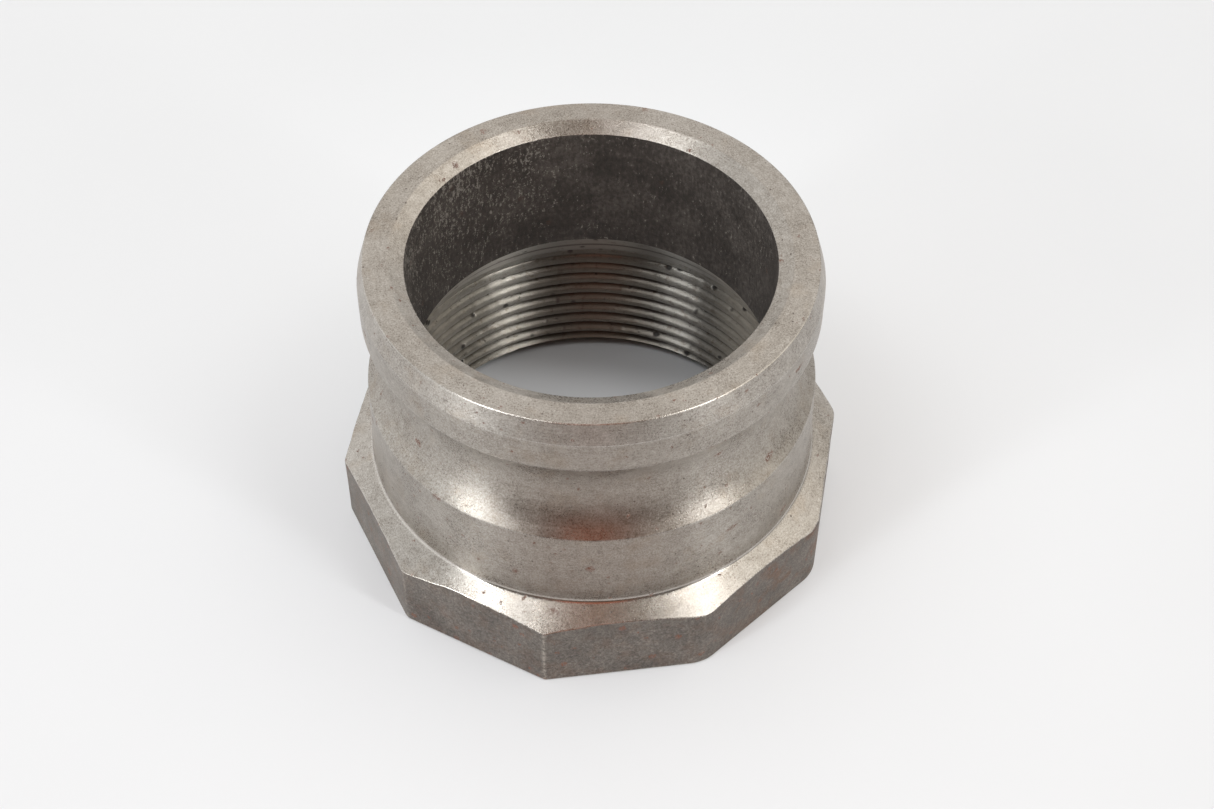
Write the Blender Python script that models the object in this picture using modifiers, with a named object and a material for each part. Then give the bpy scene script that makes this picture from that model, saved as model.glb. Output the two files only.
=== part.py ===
"""Cam-and-groove coupling, male adapter half, 2 inch size.

One steel casting with no loose or moving parts. The cam end is up: a flat nose
face between two chamfers, a short land, the rounded cam groove and a plain
cylinder. Below it is a ten-sided wrench base with a 30 degree turned shoulder,
and inside the base a female 1:16 tapered pipe thread with a countersunk mouth.

Frame: metres, +Z up along the bore towards the cam end, the origin on the
bore's axis in the plane of the base face. One wrench flat faces -Y.
"""

import math

import bpy
import bmesh
from mathutils import Matrix, Vector

MM = 0.001

# ---- driving dimensions --------------------------------------------------
HEIGHT = 48.4 * MM              # base face to nose face

# cam end, outside
LAND_R = 31.5 * MM              # 63.0 mm over the cam end
NOSE_OUTER_R = 30.6 * MM        # outer edge of the flat nose face
NOSE_INNER_R = 27.15 * MM       # inner edge of the flat nose face
LEAD_IN_Z = 45.2 * MM           # foot of the steep outer chamfer
GROOVE_TOP_Z = 40.4 * MM
GROOVE_BOTTOM_Z = 26.2 * MM
GROOVE_RADIUS = 9.5 * MM        # radius of the groove's arc in section
NECK_TOP_R = 31.6 * MM          # plain cylinder under the groove
NECK_FOOT_R = 31.9 * MM         # it swells slightly towards the base

# wrench base
SIDES = 10
ACROSS_FLATS = 69.4 * MM
FLAT_TOP_Z = 11.8 * MM          # where the shoulder meets the middle of a flat
SHOULDER_ANGLE = math.radians(30.0)
CORNER_RADIUS = 1.6 * MM        # soft cast corners between flats
FOOT_BREAK = 0.5 * MM           # broken edge round the base face
BLANK_R = 38.5 * MM             # round blank before the flats are cut
STOCK = 4.0 * MM                # stock below the base face, trimmed off with the flats

# bore
BORE_TOP_R = 25.05 * MM         # at the foot of the inner nose chamfer
NOSE_CHAMFER_Z = 47.25 * MM
BORE_FOOT_R = 25.25 * MM        # as-cast bore, with a little draft
BORE_FOOT_Z = 26.6 * MM
MOUTH_R = 30.4 * MM             # countersink at the base face

# relief between the thread and the cast bore, in two cuts with a faint step between them
RELIEF_LOWER = (26.78 * MM, 24.15 * MM)   # radius, height
RELIEF_UPPER = (26.62 * MM, 24.30 * MM)

# 2"-11.5 tapered pipe thread, cut in a straight drilled hole
DRILL_R = 28.2 * MM
PITCH = 25.4 / 11.5 * MM
TAPER = 1.0 / 32.0              # radius change for each unit of length
MINOR_R_AT_MOUTH = 28.28 * MM
THREAD_DEPTH = 1.25 * MM
ROOT_WIDTH = 0.66 * PITCH       # width of the cut at the minor radius
THREAD_TOP_Z = 21.7 * MM        # top of the drilled hole
THREAD_LAST_Z = 21.3 * MM       # the cut has run out here
RUN_OUT_TURNS = 0.9
THREAD_START_Z = -0.95 * PITCH  # the first turn starts in the air below the mouth

# resolution
TURN_STEPS = 60
SEAM_ANGLE = math.radians(1.7)  # keeps the facets' edges off the wrench corners
HELIX_STEPS = 36
GROOVE_STEPS = 8


def clear_scene():
    for obj in list(bpy.data.objects):
        bpy.data.objects.remove(obj)


def collection(name):
    col = bpy.data.collections.new(name)
    bpy.context.scene.collection.children.link(col)
    return col


def steel(name, colour, roughness, metallic):
    mat = bpy.data.materials.new(name)
    mat.use_nodes = True
    bsdf = mat.node_tree.nodes["Principled BSDF"]
    bsdf.inputs["Base Color"].default_value = (*colour, 1.0)
    bsdf.inputs["Roughness"].default_value = roughness
    bsdf.inputs["Metallic"].default_value = metallic
    mat.diffuse_color = (*colour, 1.0)
    return mat


def minor_radius(z):
    """Minor radius of the tapered thread at a height above the base face."""
    return MINOR_R_AT_MOUTH - TAPER * z


def groove_arc():
    """Points of the cam groove's section, from its top edge to its bottom edge."""
    top = Vector((LAND_R, GROOVE_TOP_Z))
    foot = Vector((NECK_TOP_R, GROOVE_BOTTOM_Z))
    middle = (top + foot) / 2
    chord = top - foot
    outward = Vector((chord.y, -chord.x)).normalized()
    centre = middle + outward * math.sqrt(GROOVE_RADIUS**2 - (chord.length / 2) ** 2)
    a0 = math.atan2(top.y - centre.y, top.x - centre.x)
    a1 = math.atan2(foot.y - centre.y, foot.x - centre.x) % (2 * math.pi)
    points = []
    for i in range(GROOVE_STEPS + 1):
        a = a0 + (a1 - a0) * i / GROOVE_STEPS
        points.append((centre.x + GROOVE_RADIUS * math.cos(a), centre.y + GROOVE_RADIUS * math.sin(a)))
    return points


def body_section():
    """Closed half section of the adapter: down the outside, in under the base, up the bore."""
    slope = math.tan(SHOULDER_ANGLE)
    apothem = ACROSS_FLATS / 2

    def shoulder(r):
        return FLAT_TOP_Z + (apothem - r) * slope

    outside = [(NOSE_INNER_R, HEIGHT), (NOSE_OUTER_R, HEIGHT), (LAND_R, LEAD_IN_Z)]
    outside += groove_arc()
    outside += [
        (NECK_FOOT_R, shoulder(NECK_FOOT_R) + 0.3 * MM),
        (NECK_FOOT_R + 0.35 * MM, shoulder(NECK_FOOT_R + 0.35 * MM)),
        (BLANK_R, shoulder(BLANK_R)),
        (BLANK_R, -STOCK),
    ]
    inside = [
        (MOUTH_R + STOCK, -STOCK),
        (DRILL_R, MOUTH_R - DRILL_R),
        (DRILL_R, THREAD_TOP_Z),
        RELIEF_LOWER,
        RELIEF_UPPER,
        (BORE_FOOT_R, BORE_FOOT_Z),
        (BORE_TOP_R, NOSE_CHAMFER_Z),
    ]
    return outside + inside


def turned(name, section, col):
    """A closed half section close to +X, spun about Z."""
    mesh = bpy.data.meshes.new(name)
    bm = bmesh.new()
    c, s = math.cos(SEAM_ANGLE), math.sin(SEAM_ANGLE)
    verts = [bm.verts.new((r * c, r * s, z)) for r, z in section]
    for a, b in zip(verts, verts[1:] + verts[:1]):
        bm.edges.new((a, b))
    bm.to_mesh(mesh)
    bm.free()
    obj = bpy.data.objects.new(name, mesh)
    col.objects.link(obj)
    screw = obj.modifiers.new("turn", "SCREW")
    screw.axis = "Z"
    screw.angle = 2 * math.pi
    screw.steps = TURN_STEPS
    screw.render_steps = TURN_STEPS
    screw.use_merge_vertices = True
    screw.merge_threshold = 0.00001
    screw.use_smooth_shade = True
    return obj


def wrench_prism(col):
    """Ten-sided prism that stands on the base plane and is taller than the part.

    Only the base is wide enough to be cut by its sides, and its foot trims the stock to the base face.
    """
    mesh = bpy.data.meshes.new("wrench_prism")
    bm = bmesh.new()
    vertex_r = ACROSS_FLATS / 2 / math.cos(math.pi / SIDES)
    depth = HEIGHT + 10 * MM
    bmesh.ops.create_cone(bm, cap_ends=True, segments=SIDES, radius1=vertex_r, radius2=vertex_r, depth=depth)
    # put the middle of one flat at -Y
    bm.verts.ensure_lookup_table()
    angle = math.atan2(bm.verts[0].co.y, bm.verts[0].co.x)
    bm.transform(Matrix.Rotation(-math.pi / 2 + math.pi / SIDES - angle, 4, "Z"))
    bm.transform(Matrix.Translation((0, 0, depth / 2)))
    bm.normal_update()
    upright = [e for e in bm.edges if abs(e.verts[0].co.z - e.verts[1].co.z) > 1 * MM]
    bmesh.ops.bevel(bm, geom=upright, offset=CORNER_RADIUS * math.tan(math.pi / SIDES), offset_type="OFFSET",
                    segments=3, profile=0.5, affect="EDGES")
    rim = [e for e in bm.edges if max(v.co.z for v in e.verts) < 0.1 * MM]
    bmesh.ops.bevel(bm, geom=rim, offset=FOOT_BREAK, offset_type="OFFSET", segments=2, profile=0.5, affect="EDGES")
    bm.to_mesh(mesh)
    bm.free()
    obj = bpy.data.objects.new("wrench_prism", mesh)
    col.objects.link(obj)
    return obj


def thread_cutter(col):
    """V-shaped cut on a 1:16 taper, a right-hand helix that gets shallower up the straight hole and runs out."""
    section = bpy.data.curves.new("thread_section", "CURVE")
    section.dimensions = "2D"
    inset = 0.12 * MM
    half = ROOT_WIDTH / 2
    spread = half * (1 + inset / THREAD_DEPTH)
    spline = section.splines.new("POLY")
    spline.points.add(2)
    for p, (x, y) in zip(spline.points, [(-inset, -spread), (THREAD_DEPTH, 0.0), (-inset, spread)]):
        p.co = (x, y, 0.0, 1.0)
    spline.use_cyclic_u = True
    section_obj = bpy.data.objects.new("thread_section", section)
    col.objects.link(section_obj)

    turns = (THREAD_LAST_Z - THREAD_START_Z) / PITCH
    count = int(round(turns * HELIX_STEPS))
    path = bpy.data.curves.new("thread_path", "CURVE")
    path.dimensions = "3D"
    path.twist_mode = "Z_UP"
    path.bevel_mode = "OBJECT"
    path.bevel_object = section_obj
    path.use_fill_caps = True
    line = path.splines.new("POLY")
    line.points.add(count)
    for i in range(count + 1):
        turn = i / HELIX_STEPS
        z = THREAD_START_Z + PITCH * turn
        left = (turns - turn) / RUN_OUT_TURNS
        lift = 0.0 if left >= 1.0 else (1.0 - left) * (THREAD_DEPTH + 0.25 * MM)
        r = minor_radius(z) - lift
        a = 2 * math.pi * turn + 0.013
        line.points[i].co = (r * math.cos(a), r * math.sin(a), z, 1.0)
    path_obj = bpy.data.objects.new("thread_path", path)
    col.objects.link(path_obj)

    bpy.context.view_layer.update()
    depsgraph = bpy.context.evaluated_depsgraph_get()
    mesh = bpy.data.meshes.new_from_object(path_obj.evaluated_get(depsgraph))
    mesh.name = "thread_cutter"
    bm = bmesh.new()
    bm.from_mesh(mesh)
    bmesh.ops.remove_doubles(bm, verts=bm.verts, dist=0.000001)
    bmesh.ops.recalc_face_normals(bm, faces=bm.faces)
    bm.to_mesh(mesh)
    bm.free()
    obj = bpy.data.objects.new("thread_cutter", mesh)
    obj.matrix_world = path_obj.matrix_world.copy()
    col.objects.link(obj)
    bpy.data.objects.remove(path_obj)
    bpy.data.objects.remove(section_obj)
    return obj


def boolean(obj, cutter, operation):
    mod = obj.modifiers.new(cutter.name, "BOOLEAN")
    mod.object = cutter
    mod.operation = operation
    mod.solver = "EXACT"
    cutter.hide_render = True
    cutter.display_type = "WIRE"


def main():
    clear_scene()
    parts = collection("camlock_adapter")
    cutters = collection("cutters")

    body = turned("adapter_body", body_section(), parts)
    boolean(body, wrench_prism(cutters), "INTERSECT")
    boolean(body, thread_cutter(cutters), "DIFFERENCE")
    body.data.materials.append(steel("turned_steel", (0.47, 0.44, 0.41), 0.42, 1.0))

    # round faces shade smooth, the machined edges stay crisp
    bpy.context.view_layer.update()
    depsgraph = bpy.context.evaluated_depsgraph_get()
    mesh = bpy.data.meshes.new_from_object(body.evaluated_get(depsgraph))
    mesh.name = "adapter_body"
    mesh.shade_smooth()
    mesh.set_sharp_from_angle(angle=math.radians(28.0))
    body.modifiers.clear()
    body.data = mesh
    if not body.data.materials:
        body.data.materials.append(bpy.data.materials["turned_steel"])


main()
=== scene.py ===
"""Looks for the cam-and-groove adapter: a turned steel casting on a pale studio floor."""

import math

import bmesh
import bpy
import numpy as np
from mathutils import Matrix, Vector


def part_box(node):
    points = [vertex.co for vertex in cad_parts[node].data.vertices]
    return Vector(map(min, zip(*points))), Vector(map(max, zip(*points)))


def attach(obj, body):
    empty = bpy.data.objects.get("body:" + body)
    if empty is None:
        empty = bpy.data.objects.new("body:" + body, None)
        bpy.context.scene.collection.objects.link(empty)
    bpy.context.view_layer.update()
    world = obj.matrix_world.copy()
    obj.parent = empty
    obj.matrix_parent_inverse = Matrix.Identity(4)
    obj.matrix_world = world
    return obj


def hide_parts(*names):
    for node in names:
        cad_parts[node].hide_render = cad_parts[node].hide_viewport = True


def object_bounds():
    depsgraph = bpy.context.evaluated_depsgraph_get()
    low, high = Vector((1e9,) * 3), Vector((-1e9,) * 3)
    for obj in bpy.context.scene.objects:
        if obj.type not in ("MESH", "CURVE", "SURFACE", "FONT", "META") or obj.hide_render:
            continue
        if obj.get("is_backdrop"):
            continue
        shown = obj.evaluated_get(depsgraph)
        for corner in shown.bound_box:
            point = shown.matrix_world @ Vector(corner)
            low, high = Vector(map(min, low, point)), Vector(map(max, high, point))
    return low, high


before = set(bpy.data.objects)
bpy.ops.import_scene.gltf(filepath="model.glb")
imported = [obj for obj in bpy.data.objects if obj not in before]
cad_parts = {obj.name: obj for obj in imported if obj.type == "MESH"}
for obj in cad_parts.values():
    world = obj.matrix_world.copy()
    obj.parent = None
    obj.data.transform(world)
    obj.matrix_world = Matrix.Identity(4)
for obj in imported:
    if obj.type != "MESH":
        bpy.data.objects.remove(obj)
cad_low, cad_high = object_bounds()

MM = 0.001
NODE = "adapter_body"
low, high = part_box(NODE)
HEIGHT = high.z - low.z                      # base face to nose face
APOTHEM = (high.y - low.y) / 2               # a flat faces -Y and one faces +Y

# ---------------------------------------------------------------- dimensions (metres)
NOSE_INNER_R = 27.15 * MM
NOSE_OUTER_R = 30.60 * MM
LAND_R = 31.50 * MM
LEAD_IN_Z = 45.20 * MM
GROOVE_TOP_Z = 40.40 * MM
GROOVE_BOTTOM_Z = 26.20 * MM
GROOVE_RADIUS = 9.5 * MM
NECK_TOP_R = 31.60 * MM
NECK_FOOT_R = 31.90 * MM
FLAT_TOP_Z = 11.80 * MM
SHOULDER_SLOPE = math.tan(math.radians(30.0))
BORE_TOP_R = 25.05 * MM
NOSE_CHAMFER_Z = 47.25 * MM
BORE_FOOT_R = 25.25 * MM
BORE_FOOT_Z = 26.6 * MM
MOUTH_R = 30.4 * MM
PITCH = 25.4 / 11.5 * MM
TAPER = 1.0 / 32.0
MINOR_R_AT_MOUTH = 28.28 * MM
DRILL_R = 28.20 * MM
THREAD_DEPTH = 1.25 * MM
THREAD_TOP_Z = 21.7 * MM
THREAD_LAST_Z = 21.3 * MM
THREAD_START_Z = -0.95 * PITCH
RUN_OUT_TURNS = 0.9
SIDES = 10
CORNER_WEAR_AND_HIGHLIGHT = [0.15, 0.10, 0.2, 0.3, 0.4, 0.3, 0.2, 0.25, 0.45, 1.0]   # how much bright metal shows on each corner; on the near corner it is partly a painted highlight


# ---------------------------------------------------------------- seeded smooth noise
def lattice(seed, ix, iy, iz):
    """Repeatable value in -1..1 for each integer lattice point."""
    h = (ix * 374761393 + iy * 668265263 + iz * 2147483647 + seed * 1274126177).astype(np.int64)
    h = (h ^ (h >> 13)) * 1274126177
    h = h & 0xFFFFFFFF
    h = (h ^ (h >> 16)) * 2246822519
    h = h & 0xFFFFFFFF
    return (h & 0xFFFF) / 32767.5 - 1.0


def noise3(p, scale, seed=0):
    """Value noise at points p (n, 3), with features about scale metres across."""
    q = np.asarray(p) / scale
    i = np.floor(q).astype(np.int64)
    f = q - i
    f = f * f * (3 - 2 * f)
    out = np.zeros(len(q))
    for dx in (0, 1):
        for dy in (0, 1):
            for dz in (0, 1):
                w = (f[:, 0] if dx else 1 - f[:, 0]) * (f[:, 1] if dy else 1 - f[:, 1]) * (f[:, 2] if dz else 1 - f[:, 2])
                out += w * lattice(seed, i[:, 0] + dx, i[:, 1] + dy, i[:, 2] + dz)
    return out


def fbm(p, scale, seed=0, octaves=3):
    out = np.zeros(len(p))
    amp, total = 1.0, 0.0
    for o in range(octaves):
        out += amp * noise3(p, scale / 2**o, seed + 17 * o)
        total += amp
        amp *= 0.5
    return out / total


# ---------------------------------------------------------------- columns round the part
CORNER_RADII_MM = [6.0, 6.2, 2.4, 2.8, 3.0, 2.2, 2.6, 2.0, 2.1, 1.05]   # the cast corners differ


def corner_angle(k):
    return math.radians(-90 + 18 + 36 * k)


def column_angles():
    """More columns at the wrench corners than between them."""
    out = []
    fine, n_fine, n_wide = 3.4, 8, 31
    for k in range(SIDES):
        a = -72 + 36 * k
        out += [a + fine * i / n_fine for i in range(n_fine)]
        out += [a + fine + (36 - 2 * fine) * i / n_wide for i in range(n_wide)]
        out += [a + 36 - fine + fine * i / n_fine for i in range(n_fine)]
    return np.radians(np.array(out))


PHI = column_angles()
COLS = len(PHI)


def wrench_radius(phi):
    """Distance from the axis to the rounded ten-sided outline."""
    deg = math.degrees(phi)
    k = int(round((deg + 72) / 36)) % SIDES
    beta = math.radians((deg + 72 + 18) % 36 - 18)
    rc = CORNER_RADII_MM[k] * MM
    dc = (APOTHEM - rc) / math.cos(math.radians(18))
    tangent = math.radians(18) - math.atan((APOTHEM - rc) * math.tan(math.radians(18)) / APOTHEM)
    if abs(beta) < tangent:
        return dc * math.cos(beta) + math.sqrt(max(rc * rc - (dc * math.sin(beta)) ** 2, 0.0))
    return APOTHEM / math.cos(math.radians(18) - abs(beta))


# ---------------------------------------------------------------- rounded section lines
def groove_points(n=22):
    top, foot = Vector((LAND_R, GROOVE_TOP_Z)), Vector((NECK_TOP_R, GROOVE_BOTTOM_Z))
    chord = top - foot
    outward = Vector((chord.y, -chord.x)).normalized()
    centre = (top + foot) / 2 + outward * math.sqrt(GROOVE_RADIUS**2 - (chord.length / 2) ** 2)
    a0 = math.atan2(top.y - centre.y, top.x - centre.x)
    a1 = math.atan2(foot.y - centre.y, foot.x - centre.x) % (2 * math.pi)
    return [(centre.x + GROOVE_RADIUS * math.cos(a0 + (a1 - a0) * i / n), centre.y + GROOVE_RADIUS * math.sin(a0 + (a1 - a0) * i / n)) for i in range(n + 1)]


def rounded(points, guard=0.12 * MM):
    """Section line through points (r, z, fillet radius, arc steps, steps to the next point).

    Each corner becomes an arc, and a guard point beside it keeps the flat runs flat. Returns rows of (r, z, edge),
    where edge is 1 on a convex arc, -1 in a concave one and 0 on the runs.
    """
    n = len(points)
    rows = []
    pts = [Vector(p[:2]) for p in points]
    arcs = []
    for i in range(n):
        r, steps = points[i][2], points[i][3]
        if i in (0, n - 1) or r <= 0:
            arcs.append([(pts[i], 0.0)])
            continue
        a, b = (pts[i - 1] - pts[i]).normalized(), (pts[i + 1] - pts[i]).normalized()
        turn = math.acos(max(-1, min(1, a.dot(b))))
        setback = r / math.tan(turn / 2)
        setback = min(setback, 0.45 * (pts[i - 1] - pts[i]).length, 0.45 * (pts[i + 1] - pts[i]).length)
        rad = setback * math.tan(turn / 2)
        centre = pts[i] + (a + b).normalized() * (rad / math.sin(turn / 2))
        p0, p1 = pts[i] + a * setback, pts[i] + b * setback
        a0, a1 = math.atan2(*(p0 - centre).yx), math.atan2(*(p1 - centre).yx)
        da = (a1 - a0 + math.pi) % (2 * math.pi) - math.pi
        # walking down the outside with material on the left hand side (towards the axis)
        cross = (pts[i] - pts[i - 1]).cross(pts[i + 1] - pts[i])
        sign = 1.0 if cross < 0 else -1.0
        arcs.append([(centre + Vector((math.cos(a0 + da * s / steps), math.sin(a0 + da * s / steps))) * rad, sign * math.sin(math.pi * s / steps)) for s in range(steps + 1)])
    for i in range(n):
        rows += [(p.x, p.y, e) for p, e in arcs[i]]
        if i == n - 1:
            break
        steps = points[i][4]
        p, q = arcs[i][-1][0], arcs[i + 1][0][0]
        length = (q - p).length
        if steps <= 1:
            continue
        g = min(guard / length, 0.2) if length > 0 else 0.2
        ts = [g + (1 - 2 * g) * s / (steps - 2) for s in range(steps - 1)] if steps > 2 else [0.5]
        for t in ts:
            v = p + (q - p) * t
            rows.append((v.x, v.y, 0.0))
    return rows


# zones, which become material slots
TURNED, CAST, BORE, THREAD = 0, 1, 2, 3


def build_outer():
    """Rows from the inner edge of the nose face, down the outside, to the mouth's edge on the base face."""
    arc = groove_points()
    upper = [
        (NOSE_INNER_R, HEIGHT, 0, 0, 6),
        (NOSE_OUTER_R, HEIGHT, 0.16 * MM, 3, 5),
        (LAND_R, LEAD_IN_Z, 0.9 * MM, 3, 6),
        (LAND_R, GROOVE_TOP_Z, 0.7 * MM, 4, 1),
    ]
    # groove arc joined on as a fine polyline of its own
    top_rows = rounded(upper + [(arc[2][0], arc[2][1], 0, 0, 0)])
    mid_rows = [(r, z, 0.0) for r, z in arc[3:-2]]
    cols = []
    ang = PHI
    ring = np.stack([np.cos(ang), np.sin(ang), 0 * ang], -1)
    # rough edge between the turned shoulder and the cast flats: a little metal missing here and there
    edge_noise = 0.5 + 0.5 * fbm(ring * 35 * MM, 1.4 * MM, 5, 3)
    edge_loss = 0.05 * MM + 0.13 * MM * np.clip(edge_noise, 0, 1) ** 1.5
    chips = np.clip(fbm(ring * 35 * MM, 2.6 * MM, 11, 2) - 0.42, 0, 1) * 0.5 * MM
    edge_loss = edge_loss + chips
    for i, phi in enumerate(PHI):
        rho = wrench_radius(phi)
        loss = edge_loss[i]
        flat_top = FLAT_TOP_Z - (rho - loss - APOTHEM) * SHOULDER_SLOPE
        neck_z = FLAT_TOP_Z + (APOTHEM - NECK_FOOT_R) * SHOULDER_SLOPE
        lower = [
            (arc[-3][0], arc[-3][1], 0, 0, 1),
            (NECK_TOP_R, GROOVE_BOTTOM_Z, 0.35 * MM, 4, 8),
            (NECK_FOOT_R, neck_z, 0.85 * MM, 6, 9),
            (rho - loss, flat_top, 0.22 * MM, 3, 1),
            (rho - 0.02 * MM, flat_top - 1.1 * MM, 0, 0, 14),
            (rho - 0.02 * MM, 0.0, 0.55 * MM, 4, 4),
            (MOUTH_R, 0.0, 0, 0, 0),
        ]
        low_rows = rounded(lower)
        cols.append(top_rows[:-1] + mid_rows + low_rows)
    rows = np.array(cols)                      # (cols, rows, 3)
    return rows


OUTER = build_outer()


def outer_zone(rows):
    """Zone of each row, all left at zero, and the first row low on the flats, found from the section itself."""
    z = rows[0, :, 1]
    r = rows[0, :, 0]
    zone = np.zeros(rows.shape[1], int)
    start = np.argmax((z < 13.0 * MM) & (r > 34.0 * MM))
    return zone, start


def build_inner():
    """Rows from the mouth's edge up through the thread and the bore to the inner edge of the nose face."""
    phi01 = ((PHI - 0.013) / (2 * math.pi)) % 1.0
    n_turns = int(math.ceil((THREAD_TOP_Z - THREAD_START_Z) / PITCH)) + 1
    tan30 = math.tan(math.radians(30))
    flat = 0.10 * PITCH
    turns_total = (THREAD_LAST_Z - THREAD_START_Z) / PITCH
    zs, rs = [], []
    for n in range(-1, n_turns + 1):
        t = n + phi01
        zc = THREAD_START_Z + PITCH * t
        root = MINOR_R_AT_MOUTH - TAPER * zc + THREAD_DEPTH
        crest = np.full_like(root, DRILL_R)
        depth = root - crest
        fade = np.clip((turns_total - t) / RUN_OUT_TURNS, 0, 1)
        depth = np.maximum(depth * fade, 0.0)
        half = depth * tan30 + flat / 2
        half = np.minimum(half, 0.46 * PITCH)
        e = np.minimum(0.07 * MM, 0.3 * half)
        core = np.minimum(flat * 0.55, half - 1.5 * e)
        for off, level in (
            (-half - e, 0), (-half + e, 1), (-core, 2), (core, 2), (half - e, 1), (half + e, 0), (0.5 * PITCH + 0 * half, 0),
        ):
            zs.append(zc + off)
            d = (0.0 * depth, np.minimum(1.25 * e / tan30, depth * 0.9), depth * 0.97)[level]
            rs.append(crest + d)
    z = np.array(zs).T                          # (cols, rows)
    r = np.array(rs).T
    order_ok = np.all(np.diff(z, axis=1) > -1e-9)
    assert order_ok, "thread rows cross"

    def cone(zz):
        return MOUTH_R - zz

    # move the row nearest each crossing of thread and countersink onto it, so the edge is clean
    f = r - cone(z)
    for i in range(z.shape[0]):
        s = np.where(np.sign(f[i, :-1]) * np.sign(f[i, 1:]) < 0)[0]
        used = set()
        for k in s:
            w = f[i, k] / (f[i, k] - f[i, k + 1])
            zx, rx = z[i, k] + w * (z[i, k + 1] - z[i, k]), r[i, k] + w * (r[i, k + 1] - r[i, k])
            j = k if w < 0.5 else k + 1
            if j in used:
                continue
            used.add(j)
            z[i, j], r[i, j] = zx, rx
    r = np.maximum(r, cone(z))
    z = np.clip(z, 0.0, THREAD_TOP_Z)
    r = np.where(z <= 0.0, MOUTH_R, r)
    r = np.where(z >= THREAD_TOP_Z - 1e-9, DRILL_R, r)

    # relief cones between the thread and the cast bore, with a faint step between two cuts
    upper = [
        (DRILL_R, THREAD_TOP_Z, 0, 0, 5),
        (26.78 * MM, 24.15 * MM, 0.05 * MM, 1, 1),
        (26.62 * MM, 24.25 * MM, 0.05 * MM, 1, 5),
        (BORE_FOOT_R, BORE_FOOT_Z, 0.12 * MM, 2, 16),
        (BORE_TOP_R, NOSE_CHAMFER_Z, 0.14 * MM, 3, 5),
        (NOSE_INNER_R, HEIGHT, 0, 0, 0),
    ]
    rows = rounded(upper)
    up = np.repeat(np.array([(a, b) for a, b, _ in rows])[None], COLS, 0)
    zz = np.concatenate([z, up[:, 1:, 1]], 1)
    rr = np.concatenate([r, up[:, 1:, 0]], 1)
    n_thread = z.shape[1]
    k_bore = n_thread + next(i for i, (a, b, _) in enumerate(rows[1:]) if b > BORE_FOOT_Z + 0.05 * MM) - 1
    k_chamfer = n_thread + next(i for i, (a, b, _) in enumerate(rows[1:]) if b > NOSE_CHAMFER_Z - 0.02 * MM)
    return rr, zz, n_thread, k_bore, k_chamfer


IN_R, IN_Z, N_THREAD, K_BORE, K_CHAMFER = build_inner()


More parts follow.
